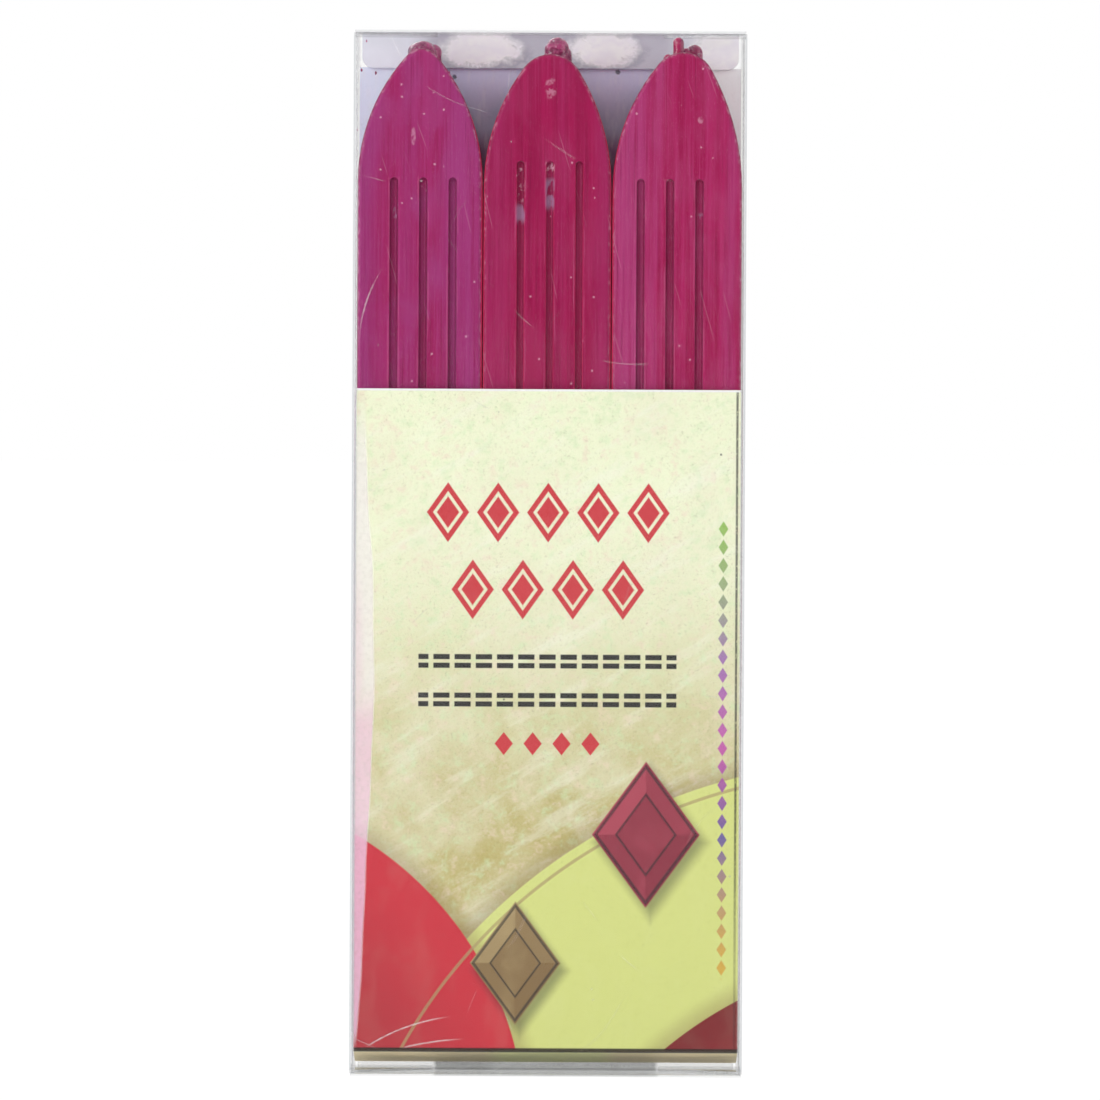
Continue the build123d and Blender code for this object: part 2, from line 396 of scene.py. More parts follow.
def waxDust(tree, spot, tone, colour, fromMiddle, crumbs):
    # pale wax dust, nicks and what is left in some grooves
    place, up = spot["Place"], spot["Up"]
    specks = useGroup(tree, looseSpecks, Place=place, Density=0.9, Size=0.085, Share=0.26)["Mask"]
    colour = wash(tree, specks, 0.6, colour, wax["speckColour"])
    nicks = useGroup(
        tree, hairScratches, Place=place, Direction=(0.96, 0.0, 0.28),
        Spacing=2.3, Width=0.045, Bend=3.0, Share=0.6,
    )["Mask"]
    colour = wash(tree, nicks, 0.3, colour, wax["speckColour"])
    patches = noise(tree, stretch(tree, place, (1.4, 1.0, 0.7)), 1.0, 3.0, 0.55)
    for index, low, high, level, kind in tone["residue"]:
        field = patches if kind == "film" else crumbs
        inGroove = both(
            tree, near(tree, fromMiddle, index * wax["groovePitch"], 0.46, 0.1),
            spread(tree, up, low - 0.5, low + 0.5), spread(tree, up, high + 0.4, high - 0.4),
            spread(tree, spot["Deep"], *wax["frontPart"]), spread(tree, field, level, level + 0.14),
        )
        colour = wash(tree, inGroove, 0.75, colour, wax[kind])
    # one pale thumbed spot near the tip
    smudge = spread(tree, oval(tree, spot, tone["smudge"]), 1.4, 0.5)
    smudge = both(tree, smudge, spread(tree, crumbs, 0.4, 0.6))
    return wash(tree, smudge, 0.4, colour, wax["speckColour"])


def makeWax(name, tone):
    material, tree, surface = newMaterial("wax" + name.title())
    spot = useGroup(tree, partPlace)
    place = spot["Place"]
    streaks = noise(tree, stretch(tree, place, (1.7, 0.9, 0.035)), 1.0, 5.0, 0.62)
    fineStreaks = noise(tree, stretch(tree, place, (7.0, 4.0, 0.1)), 1.0, 3.0, 0.6)
    grain = useGroup(tree, fineGrain, Place=place, Scale=4.5)["Grain"]
    tall = stretch(tree, place, (1, 1, 0.45))
    bloom = useGroup(tree, softMottle, Place=tall, Scale=0.3, Low=0.42, High=0.68)["Mask"]
    crumbs = noise(tree, place, 1.9, 4.0, 0.65)

    fromMiddle, offLine, inRange, groove = waxGrooves(tree, spot, tone)
    colour = waxBody(tree, spot, tone, streaks, fineStreaks, bloom)
    colour = waxEdges(tree, spot, colour, groove, crumbs)
    # painted light: the inner side faces are washed a brighter red
    sideFace = spread(tree, unsigned(tree, spot["FaceSide"]), 0.72, 0.95)
    innerSide = both(tree, sideFace, near(tree, spot["Across"], 0.0, wax["innerReach"], 0.3))
    colour = wash(tree, innerSide, 0.8, colour, wax["sideLightColour"])
    colour = wash(tree, spread(tree, grain, 0.54, 0.72), 0.44, colour, tone["bloom"])
    # painted shade in the grooves, stronger towards their sides
    grooveShadeSide = spread(tree, offLine, 0.12, 0.36, 0.16, 0.66)
    colour = tint(tree, both(tree, groove, grooveShadeSide), colour, wax["streakAndGrooveShade"])
    colour = grooveLipHighlights(tree, spot, colour, offLine, inRange)
    colour = waxDust(tree, spot, tone, colour, fromMiddle, crumbs)

    wear = plus(tree, times(tree, grain, 0.6), times(tree, bloom, 0.4))
    roughness = spread(tree, wear, 0.25, 0.75, *wax["roughness"])
    height = plus(tree, times(tree, fineStreaks, 0.8), grain)
    body = plainBody(tree, surface, colour, roughness, height, *wax["bump"])
    body.inputs["Specular IOR Level"].default_value = wax["specular"]
    # a painted glow: a faint emission stands in for light soaking through the wax where two sticks stand
    # side by side
    glowMask = both(tree, innerSide, spread(tree, spot["Up"], *wax["glowFrom"]))
    feed(tree, body.inputs["Emission Color"], tint(tree, glowMask, (0, 0, 0, 1), wax["glowColour"]))
    body.inputs["Emission Strength"].default_value = 1.0
    return material


# wick ends: wax that has run and set glossy over the wick, with painted shade beyond a place across and
# painted glints
wickEnds = {
    "left": {
        "deep": (0.18, 0.007, 0.07, 1), "main": (0.38, 0.02, 0.15, 1),
        "bumpDepth": 0.00005, "glints": 0.25, "shadedFrom": (-11.9, -11.5),
    },
    "middle": {
        "deep": (0.19, 0.008, 0.07, 1), "main": (0.4, 0.04, 0.16, 1),
        "bumpDepth": 0.00014, "glints": 0.7, "shadedFrom": (2.4, 2.8),
    },
    "right": {
        "deep": (0.33, 0.006, 0.08, 1), "main": (0.45, 0.012, 0.11, 1),
        "bumpDepth": 0.00005, "glints": 0.2, "shadedFrom": (13.3, 13.7),
    },
}
wickFinish = {
    "shadedSide": (0.2, 0.008, 0.08, 1), "glint": (0.86, 0.66, 0.78, 1), "roughness": (0.16, 0.42),
    "coat": 0.4, "coatRoughness": 0.08, "bumpStrength": 0.8,
}


def makeWickEnd(name, tone):
    material, tree, surface = newMaterial("wickEnd" + name.title())
    spot = useGroup(tree, partPlace)
    grain = useGroup(tree, fineGrain, Place=spot["Place"], Scale=1.6)["Grain"]
    runs = useGroup(tree, softMottle, Place=spot["Place"], Scale=0.9, Low=0.4, High=0.62)["Mask"]
    glintPlaces = noise(tree, spot["Place"], 2.6, 4.0, 0.65)
    colour = tint(tree, runs, tone["deep"], tone["main"])
    # painted shade on the side beyond a place across
    shadedSide = spread(tree, spot["Across"], *tone["shadedFrom"])
    shadedSide = both(tree, shadedSide, spread(tree, grain, 0.35, 0.6, 1.0, 0.45))
    colour = tint(tree, shadedSide, colour, wickFinish["shadedSide"])
    # painted glints
    colour = wash(tree, spread(tree, glintPlaces, 0.56, 0.68), tone["glints"], colour, wickFinish["glint"])
    roughness = spread(tree, grain, 0.3, 0.7, *wickFinish["roughness"])
    height = plus(tree, grain, runs)
    body = plainBody(tree, surface, colour, roughness, height, wickFinish["bumpStrength"], tone["bumpDepth"])
    body.inputs["Coat Weight"].default_value = wickFinish["coat"]
    body.inputs["Coat Roughness"].default_value = wickFinish["coatRoughness"]
    return material


# card insert: printed outside, white inside with painted shade, with a painted dark shadow line in the score
# at its lower fold
card = {
    "groundTop": (0.88, 0.92, 0.665, 1), "groundLow": (0.53, 0.455, 0.17, 1),
    "groundCloud": (0.83, 0.81, 0.6, 1), "brushed": (0.93, 0.94, 0.8, 1),
    "leafCast": (0.64, 0.8, 0.48, 1), "blushCast": (0.85, 0.69, 0.56, 1),
    # the inside colours are painted shade and painted light on white card
    "inside": (0.425, 0.425, 0.58, 1), "insideLitTop": (0.68, 0.71, 0.93, 1),
    "insideShadeLow": (0.29, 0.14, 0.265, 1), "insideLitLeft": (0.76, 0.85, 1.0, 1),
    "insideLitRight": (0.96, 1.0, 1.0, 1), "core": (0.9, 0.9, 0.88, 1),
    "floorTan": (1.0, 0.86, 0.54, 1), "floorLime": (0.93, 1.0, 0.44, 1),
    "red": (0.61, 0.03, 0.05, 1), "deepRed": (0.47, 0.03, 0.045, 1),
    "darkRed": (0.22, 0.014, 0.018, 1), "leaf": (0.68, 0.73, 0.25, 1),
    "bronze": (0.245, 0.155, 0.065, 1), "bronzeLight": (0.42, 0.31, 0.15, 1),
    "raspberry": (0.27, 0.03, 0.055, 1), "raspberryLight": (0.47, 0.075, 0.115, 1),
    "ink": (0.016, 0.016, 0.022, 1), "scoreShadow": (0.02, 0.01, 0.006, 1),
    "roughness": (0.42, 0.62), "bump": (0.35, 0.00001), "specular": 0.12,
    # heights where the ground and the inside change colour, from one end to the other
    "groundFade": (60.0, 22.0), "insideFade": (99.5, 104.0), "insideLowFade": (99.0, 96.0),
    "topEdge": 71.4, "fold": 2.6, "rightLineAcross": 19.58, "insideSides": (15.0, 16.5),
    # sweeping fields, as middle across and up with radius, then outer and inner colour
    "sweeps": (
        ((34.0, -24.0, 57.0), "leaf", "leaf"),
        ((40.0, -30.0, 43.0), "darkRed", "deepRed"),
        ((-38.0, -6.0, 36.0), "red", "deepRed"),
    ),
    "bigLozenges": (
        {"middle": (10.3, 25.2), "half": (5.6, 7.6), "dark": "raspberry", "light": "raspberryLight"},
        {"middle": (-3.2, 11.8), "half": (4.7, 6.4), "dark": "bronze", "light": "bronzeLight"},
    ),
    # rows of lozenges, as height, count, pitch, half width and half height
    "largeRows": ((58.6, 5, 5.2, 2.2, 3.1), (50.6, 4, 5.2, 2.2, 3.1)),
    "smallRow": (34.6, 4, 3.0, 0.95, 1.2),
    "ruleRows": (43.6, 42.7, 39.6, 38.7), "ruleHalf": 13.4, "dashPitch": 2.2, "dashHalf": 0.85,
    "chain": {"across": 18.2, "pitch": 1.9, "half": (0.5, 0.8), "middle": 34.0, "reach": 23.8},
    "chainFade": (8.0, 60.0),
    "chainEnds": ((0.7, 0.42, 0.05, 1), (0.3, 0.52, 0.1, 1)),
    "chainStops": (
        (0.25, (0.14, 0.1, 0.36, 1)), (0.5, (0.56, 0.1, 0.42, 1)), (0.75, (0.36, 0.16, 0.46, 1)),
    ),
    # plain frame and lozenges on the back
    "backMiddle": 53.5, "frameHalf": (17.4, 47.0), "frameLine": 0.22,
    "backLozenges": (66.0, 53.5, 41.0), "backHalf": (4.4, 5.4),
}


def lozenge(tree, x, z, half, soft):
    # 1 inside a lozenge about x = z = 0, and how far out a point lies
    reach = plus(tree, over(tree, unsigned(tree, x), half[0]), over(tree, unsigned(tree, z), half[1]))
    return spread(tree, reach, 1.0 + soft, 1.0 - soft), reach


def sweep(tree, spot, middle, soft):
    # 1 inside a large circle, and the way out from its edge
    outside = minus(tree, wayFrom(tree, spot, middle), middle[2])
    return spread(tree, outside, soft, -soft), outside


def cardGround(tree, spot, grain, veins):
    # pale ground, deeper towards the bottom
    place, across, up = (spot[label] for label in ("Place", "Across", "Up"))
    cloud = useGroup(tree, softMottle, Place=place, Scale=0.11, Low=0.4, High=0.66)["Mask"]
    lower = spread(tree, up, *card["groundFade"])
    ground = tint(tree, lower, card["groundTop"], card["groundLow"])
    ground = wash(tree, cloud, 0.45, ground, card["groundCloud"])
    ground = wash(tree, veins, 0.2, ground, card["groundTop"])
    # the print's dots run together into faint green and blush patches
    patches = noise(tree, place, 0.85, 4.0, 0.6)
    ground = wash(tree, spread(tree, patches, 0.5, 0.72), 0.46, ground, card["leafCast"])
    ground = wash(tree, spread(tree, patches, 0.48, 0.28), 0.44, ground, card["blushCast"])
    # pale brushed streaks that climb to the right, and the fine dots of the print
    slant = addNode(tree, "ShaderNodeCombineXYZ")
    feed(tree, slant.inputs[0], plus(tree, times(tree, across, 0.087), times(tree, up, 0.05)))
    feed(tree, slant.inputs[2], minus(tree, times(tree, up, 0.48), times(tree, across, 0.28)))
    brushed = spread(tree, noise(tree, slant.outputs[0], 1.0, 4.0, 0.6), 0.48, 0.72)
    ground = wash(tree, brushed, 0.38, ground, card["brushed"])
    ground = wash(tree, spread(tree, grain, 0.54, 0.74), 0.18, ground, card["core"])
    return wash(tree, spread(tree, grain, 0.46, 0.28), 0.2, ground, card["bronzeLight"])


def cardFields(tree, spot, front, veins):
    # lower picture of sweeping fields, each with a soft shadow beside it
    for middle, outer, inner in card["sweeps"]:
        inside, outside = sweep(tree, spot, middle, 0.06)
        front = wash(tree, spread(tree, outside, 2.4, 0.0), 0.4, front, card["bronze"])
        field = tint(tree, spread(tree, outside, -1.0, -14.0), card[outer], card[inner])
        field = wash(tree, veins, 0.03, field, card["groundTop"])
        front = tint(tree, inside, front, field)
    # a fine line follows the edge of the first field
    _, outside = sweep(tree, spot, card["sweeps"][0][0], 0.06)
    return wash(tree, near(tree, outside, -1.1, 0.16, 0.05), 0.7, front, card["bronzeLight"])


def bigLozenge(tree, spot, front, veins, item):
    # a raised lozenge with four facets round a flat middle, and its shadow
    dx = minus(tree, spot["Across"], item["middle"][0])
    dz = minus(tree, spot["Up"], item["middle"][1])
    _, shadow = lozenge(tree, minus(tree, dx, 0.5), plus(tree, dz, 0.8), item["half"], 0.02)
    front = wash(tree, spread(tree, shadow, 1.22, 0.85), 0.55, front, card["ink"])
    inside, reach = lozenge(tree, dx, dz, item["half"], 0.012)
    fromLeft = times(tree, spread(tree, dx, 0.08, -0.08), 0.35)
    fromAbove = times(tree, spread(tree, dz, -0.08, 0.08), 0.5)
    facets = spread(tree, reach, 0.53, 0.56)
    lit = times(tree, plus(tree, fromLeft, fromAbove), facets)
    lit = plus(tree, lit, times(tree, minus(tree, 1.0, facets), 0.32))
    lit = plus(tree, lit, times(tree, minus(tree, veins, 0.5), 0.25))
    field = tint(tree, spread(tree, lit, 0.0, 1.0), card[item["dark"]], card[item["light"]])
    rims = plus(tree, near(tree, reach, 0.93, 0.035, 0.015), near(tree, reach, 0.55, 0.025, 0.012))
    field = wash(tree, rims, 0.7, field, card["ink"])
    return tint(tree, inside, front, field)


def cardRows(tree, spot, front):
    # rows of small lozenges, the larger ones ringed
    across, up = spot["Across"], spot["Up"]
    for row in (*card["largeRows"], card["smallRow"]):
        middle, count, pitch, halfWide, halfHigh = row
        offset = 0.0 if count % 2 else pitch / 2
        x = calc(tree, "WRAP", plus(tree, across, offset), pitch / 2, -pitch / 2)
        inside, reach = lozenge(tree, x, minus(tree, up, middle), (halfWide, halfHigh), 0.03)
        if row in card["largeRows"]:
            inside = minus(tree, inside, times(tree, near(tree, reach, 0.62, 0.09, 0.03), 0.95))
        inside = both(tree, inside, near(tree, across, 0.0, count * pitch / 2, 0.02))
        front = wash(tree, inside, 0.97, front, card["red"])
    # fine dashed rules
    halfDash = card["dashPitch"] / 2
    for middle in card["ruleRows"]:
        dash = near(tree, calc(tree, "WRAP", across, halfDash, -halfDash), 0.0, card["dashHalf"], 0.05)
        within = near(tree, across, 0.0, card["ruleHalf"], 0.05)
        rule = both(tree, near(tree, up, middle, 0.27, 0.05), within, dash)
        front = wash(tree, rule, 0.97, front, card["ink"])
    return front


def cardChain(tree, spot, front):
    # chain of small lozenges up the right edge, in changing colours
    chain = card["chain"]
    halfPitch = chain["pitch"] / 2
    z = calc(tree, "WRAP", spot["Up"], halfPitch, -halfPitch)
    links, _ = lozenge(tree, minus(tree, spot["Across"], chain["across"]), z, chain["half"], 0.12)
    links = both(tree, links, near(tree, spot["Up"], chain["middle"], chain["reach"], 0.1))
    ramp = addNode(tree, "ShaderNodeValToRGB")
    feed(tree, ramp.inputs[0], spread(tree, spot["Up"], *card["chainFade"]))
    stops = ramp.color_ramp.elements
    stops[0].color, stops[1].color = card["chainEnds"]
    for along, colour in card["chainStops"]:
        stops.new(along).color = colour
    return wash(tree, links, 0.95, front, ramp.outputs[0])


def cardEdges(tree, spot, front, grain):
    # dark line along the right edge, fading lower down, and a pale worn edge at the top
    rightLine = both(
        tree, near(tree, spot["Across"], card["rightLineAcross"], 0.12, 0.05),
        spread(tree, spot["Up"], 8.0, 30.0, 0.35, 0.8), spread(tree, grain, 0.3, 0.46),
    )
    front = tint(tree, rightLine, front, card["ink"])
    worn = spread(tree, spot["Up"], card["topEdge"] - 0.28, card["topEdge"] - 0.16)
    return tint(tree, worn, front, card["core"])


def cardBack(tree, spot, ground):
    # plain frame with three ringed lozenges
    across, up = spot["Across"], spot["Up"]
    halfWide, halfHigh = card["frameHalf"]
    line = card["frameLine"]
    sides = near(tree, unsigned(tree, across), halfWide, line, 0.04)
    sides = both(tree, sides, near(tree, up, card["backMiddle"], halfHigh + 0.2, 0.05))
    ends = near(tree, unsigned(tree, minus(tree, up, card["backMiddle"])), halfHigh, line, 0.04)
    ends = both(tree, ends, near(tree, across, 0.0, halfWide + 0.2, 0.05))
    back = tint(tree, most(tree, sides, ends), ground, card["red"])
    for middle in card["backLozenges"]:
        inside, reach = lozenge(tree, across, minus(tree, up, middle), card["backHalf"], 0.02)
        inside = minus(tree, inside, times(tree, near(tree, reach, 0.66, 0.07, 0.02), 0.9))
        back = tint(tree, inside, back, card["red"])
    return back


def cardInsideShade(tree, spot, fibres):
    # white inside with painted shade of the sticks: grey in the middle, a painted lit top, darker red low
    # down, and paler painted light at its sides
    across, up = spot["Across"], spot["Up"]
    higher = spread(tree, up, *card["insideFade"])
    inner = tint(tree, higher, card["inside"], card["insideLitTop"])
    inner = tint(tree, spread(tree, up, *card["insideLowFade"]), inner, card["insideShadeLow"])
    sides = tint(tree, spread(tree, across, -1.0, 1.0), card["insideLitLeft"], card["insideLitRight"])
    inner = tint(tree, spread(tree, unsigned(tree, across), *card["insideSides"]), inner, sides)
    return wash(tree, spread(tree, fibres, 0.45, 0.7), 0.16, inner, card["core"])


def makeCard():
    material, tree, surface = newMaterial("printedCard")
    spot = useGroup(tree, partPlace)
    place, across, deep, up = (spot[label] for label in ("Place", "Across", "Deep", "Up"))
    grain = useGroup(tree, fineGrain, Place=place, Scale=5.0)["Grain"]
    tall = stretch(tree, place, (1, 1, 0.6))
    veins = useGroup(tree, softMottle, Place=tall, Scale=0.35, Low=0.45, High=0.7)["Mask"]
    fibres = noise(tree, stretch(tree, place, (2.2, 2.2, 0.5)), 1.0, 4.0, 0.6)

    ground = cardGround(tree, spot, grain, veins)
    front = cardFields(tree, spot, ground, veins)
    for item in card["bigLozenges"]:
        front = bigLozenge(tree, spot, front, veins, item)
    front = cardRows(tree, spot, front)
    front = cardChain(tree, spot, front)
    front = cardEdges(tree, spot, front, grain)
    floor = wash(tree, spread(tree, fibres, 0.4, 0.65), 0.1, card["floorTan"], card["groundLow"])
    floor = wash(tree, near(tree, across, 0.5, 6.0, 1.5), 0.7, floor, card["floorLime"])

    onFront = both(tree, spread(tree, spot["FaceDeep"], -0.35, -0.65), spread(tree, deep, -2.0, -4.0))
    onBack = both(tree, spread(tree, spot["FaceDeep"], 0.35, 0.65), spread(tree, deep, 2.0, 4.0))
    onFloor = both(tree, spread(tree, spot["FaceUp"], -0.35, -0.75), spread(tree, up, 5.0, 4.0))
    colour = tint(tree, onFront, cardInsideShade(tree, spot, fibres), front)
    colour = tint(tree, onBack, colour, cardBack(tree, spot, ground))
    colour = tint(tree, onFloor, colour, floor)
    # painted shadow line in the score along the fold
    scoreShadow = both(
        tree, near(tree, up, card["fold"] + 0.12, 0.24, 0.07), spread(tree, deep, -3.5, -4.5),
        spread(tree, spot["FaceDeep"], 0.2, -0.1), spread(tree, grain, 0.28, 0.4, 0.75, 1.0),
    )
    colour = wash(tree, scoreShadow, 0.95, colour, card["scoreShadow"])
    # dots of the print and loose flecks
    colour = wash(tree, spread(tree, grain, 0.56, 0.74), 0.04, colour, card["core"])
    colour = wash(tree, spread(tree, grain, 0.44, 0.28), 0.14, colour, card["ink"])
    flecks = useGroup(tree, looseSpecks, Place=place, Density=0.17, Size=0.042, Share=0.4)["Mask"]
    colour = wash(tree, flecks, 0.75, colour, card["ink"])

    roughness = spread(tree, grain, 0.3, 0.7, *card["roughness"])
    body = plainBody(tree, surface, colour, roughness, plus(tree, fibres, grain), *card["bump"])
    body.inputs["Specular IOR Level"].default_value = card["specular"]
    return material


# clear sheet: thin see-through plastic, softly bent at its left edge, with handling marks, a painted
# reflection on the bend and painted light and shade in some of its hazes
clearSheet = {
    "refraction": 1.45, "crease": (0.52, 0.53, 0.55, 1), "creaseShare": 0.22, "cutShare": 0.32,
    "reflectionPink": (0.84, 0.56, 0.74, 1), "scuffShadow": (0.26, 0.23, 0.32, 1), "tuckEndLight": (0.84, 0.86, 0.95, 1),
    "baseEndColour": (0.6, 0.6, 0.55, 1), "scuffShade": (0.92, 0.9, 0.96, 1), "scuffWhite": (1, 1, 1, 1),
    # soft bend of the front wall: its width at the ends and in the middle, then the heights of its painted
    # reflection and of the pink in it
    "bendDepth": 0.03, "bendReflection": 0.46, "bendWide": (0.8, 2.4), "bendMiddle": 42.0, "bendReach": 50.0,
    "bendFoot": (2.5, 5.0), "bendHead": (71.6, 62.0), "pinkReflectionFoot": (41.0, 36.0), "pinkReflectionHead": (56.0, 46.0),
    # long curved scratches on the front, as middle across and up, radius, and start and end across
    "arcs": (
        (-7.5, -14.0, 20.34, -18.8, -9.6), (-7.0, -28.0, 31.93, -15.0, -8.2),
        (-4.5, 75.6, 15.25, -19.9, -17.0),
    ),
    # white scuffs with painted glare on the tuck flap, as middle across and up with half sizes
    "glareScuffs": ((-7.3, 106.9, 4.3, 1.9), (5.5, 106.9, 3.7, 1.9), (17.7, 106.5, 3.2, 2.6)),
    "scuffShadowHalf": 16.0, "scuffShadowFade": (107.6, 106.2), "tuckEnds": (11.5, 15.0), "baseEnds": (11.3, 11.9),
    # glued lap inside the back wall: depth of its face, middle, half width, free edge and heights
    "lapFace": (5.1, 5.18), "lapMiddle": -16.0, "lapHalf": 3.4, "lapEdge": -12.62,
    "lapFoot": (3.0, 6.0), "lapHead": (105.5, 102.5),
}
sheetPieces = {
    "walls": {"haze": (0.84, 0.79, 0.79, 1), "share": None, "edgeOn": (0.74, 0.755, 0.77, 1)},
    "flaps": {"haze": (0.88, 0.88, 0.89, 1), "share": None, "edgeOn": (0.95, 0.955, 0.96, 1)},
    # the tuck flap's grey-lavender haze is painted shade
    "tuck": {"haze": (0.52, 0.5, 0.6, 1), "share": (0.62, 0.72), "edgeOn": (0.95, 0.95, 0.96, 1)},
    # the base's dark haze is painted shadow, and the base flaps' pale haze is partly scuffing and partly
    # painted reflection
    "base": {"haze": (0.23, 0.25, 0.23, 1), "share": (0.44, 0.54), "edgeOn": (0.9, 0.905, 0.91, 1)},
    "baseFlaps": {"haze": (0.66, 0.68, 0.67, 1), "share": (0.22, 0.38), "edgeOn": (0.95, 0.955, 0.96, 1)},
}
# the sleeve's half width, half depth and top, in millimetres
sleeveCorners = [Vector(corner) / mm for corner in cadNodes["carton_sleeve"].bound_box]
sleeveWide, sleeveDeep, sleeveTop = (max(corner[axis] for corner in sleeveCorners) for axis in range(3))


def handlingMarks(tree, place):
    # long bent scratches both ways, and dust
    longMarks = useGroup(
        tree, hairScratches, Place=place, Direction=(0.55, 0.1, 0.83),
        Spacing=13.0, Width=0.09, Bend=22.0, Share=0.56,
    )["Mask"]
    crossMarks = useGroup(
        tree, hairScratches, Place=place, Direction=(0.9, 0.2, -0.43),
        Spacing=17.0, Width=0.06, Bend=26.0, Share=0.57,
    )["Mask"]
    dust = useGroup(tree, looseSpecks, Place=place, Density=0.22, Size=0.028, Share=0.3)["Mask"]
    marks = most(tree, times(tree, longMarks, 0.11), times(tree, crossMarks, 0.1))
    return most(tree, marks, times(tree, dust, 0.25))


def tuckShadeAndScuffs(tree, spot, share, colour):
    # grey haze as painted shade, paler with painted light at its ends, and fuzzy white scuffs with painted
    # glare, with a dark fringe of painted shadow round them, strongest below
    ends = spread(tree, unsigned(tree, spot["Across"]), *clearSheet["tuckEnds"])
    colour = tint(tree, ends, colour, clearSheet["tuckEndLight"])
    fuzz = noise(tree, stretch(tree, spot["Place"], (0.75, 0.8, 0.95)), 1.0, 6.0, 0.66, 0.25)
    ragged = times(tree, minus(tree, fuzz, 0.5), 2.0)
    scuffAndGlare = 0.0
    scuffShadow = 0.0
    for item in clearSheet["glareScuffs"]:
        reach = plus(tree, oval(tree, spot, item), ragged)
        scuffAndGlare = most(tree, scuffAndGlare, spread(tree, reach, 1.45, 0.5))
        scuffShadow = most(tree, scuffShadow, spread(tree, reach, 1.9, 1.2))
    scuffShadow = both(
        tree, scuffShadow, near(tree, spot["Across"], 0.0, clearSheet["scuffShadowHalf"], 2.0),
        spread(tree, spot["Up"], *clearSheet["scuffShadowFade"], 0.25, 1.0),
    )
    colour = wash(tree, scuffShadow, 0.75, colour, clearSheet["scuffShadow"])
    white = tint(tree, spread(tree, fuzz, 0.35, 0.65), clearSheet["scuffShade"], clearSheet["scuffWhite"])
    return most(tree, share, times(tree, scuffAndGlare, 0.92)), tint(tree, scuffAndGlare, colour, white)


def baseShadow(tree, spot, share, colour):
    # painted shadow as dark grey between the side flaps, fainter and paler over them
    offMiddle = unsigned(tree, spot["Across"])
    overFlaps = spread(tree, offMiddle, *clearSheet["baseEnds"])
    fainter = spread(tree, offMiddle, *clearSheet["baseEnds"], 1.0, 0.35)
    share = both(tree, share, fainter, spread(tree, spot["FaceUp"], -0.5, 0.0))
    return share, tint(tree, overFlaps, colour, clearSheet["baseEndColour"])


def bendFront(tree, spot, grain, share, colour, height):
    # the front bends away softly at its left edge, and a painted reflection lies there as a pale haze tinted
    # pink
    across, up = spot["Across"], spot["Up"]
    offHeight = unsigned(tree, minus(tree, up, clearSheet["bendMiddle"]))
    bendWide = spread(tree, offHeight, clearSheet["bendReach"], 0.0, *clearSheet["bendWide"])
    sway = times(tree, minus(tree, noise(tree, spot["Place"], 0.08, 1.0, 0.4), 0.5), 0.8)
    bendEdge = minus(tree, plus(tree, bendWide, sway), sleeveWide)
    intoBend = most(tree, minus(tree, bendEdge, across), 0.0)
    height = minus(tree, height, times(tree, times(tree, intoBend, intoBend), clearSheet["bendDepth"]))
    onFront = spread(tree, spot["FaceDeep"], -0.5, -0.8)
    # painted reflection: a pale strip of haze along the bend
    reflectionStrip = both(
        tree, onFront, spread(tree, intoBend, 0.02, 0.35), spread(tree, up, *clearSheet["bendFoot"]),
        spread(tree, up, *clearSheet["bendHead"]), spread(tree, grain, 0.15, 0.6, 0.75, 1.0),
    )
    share = most(tree, share, times(tree, reflectionStrip, clearSheet["bendReflection"]))
    # the painted reflection is tinted pink, more deeply into the bend
    deepBend = times(tree, spread(tree, intoBend, 0.9, 1.9), 0.5)
    pinkReflection = most(tree, spread(tree, up, *clearSheet["pinkReflectionFoot"]), deepBend)
    pinkReflection = both(tree, reflectionStrip, spread(tree, up, *clearSheet["pinkReflectionHead"]), pinkReflection)
    colour = tint(tree, pinkReflection, colour, clearSheet["reflectionPink"])
    for middleX, middleZ, radius, start, end in clearSheet["arcs"]:
        arc = both(
            tree, onFront, near(tree, wayFrom(tree, spot, (middleX, middleZ)), radius, 0.07, 0.07),
            spread(tree, across, start, start + 1.0), spread(tree, across, end, end - 3.0),
            spread(tree, up, middleZ - 1.0, middleZ), spread(tree, grain, 0.35, 0.55, 0.4, 1.0),
        )
        share = most(tree, share, times(tree, arc, 0.34))
    return share, colour, height


def glueLap(tree, spot, grain, share):
    # the glued lap inside the back wall shows as a faint strip with a line at its free edge
    across, up = spot["Across"], spot["Up"]
    onLap = both(
        tree, spread(tree, spot["Deep"], *clearSheet["lapFace"]),
        spread(tree, up, *clearSheet["lapFoot"]), spread(tree, up, *clearSheet["lapHead"]),
    )
    glue = near(tree, across, clearSheet["lapMiddle"], clearSheet["lapHalf"], 0.1)
    glue = both(tree, glue, spread(tree, grain, 0.35, 0.65, 0.03, 0.09))
    freeEdge = near(tree, across, clearSheet["lapEdge"], 0.07, 0.05)
    glue = most(tree, glue, times(tree, freeEdge, 0.22))
    return most(tree, share, both(tree, onLap, glue))


def whiten(tree, share, colour, mask, amount):
    return most(tree, share, times(tree, mask, amount)), tint(tree, mask, colour, clearSheet["crease"])


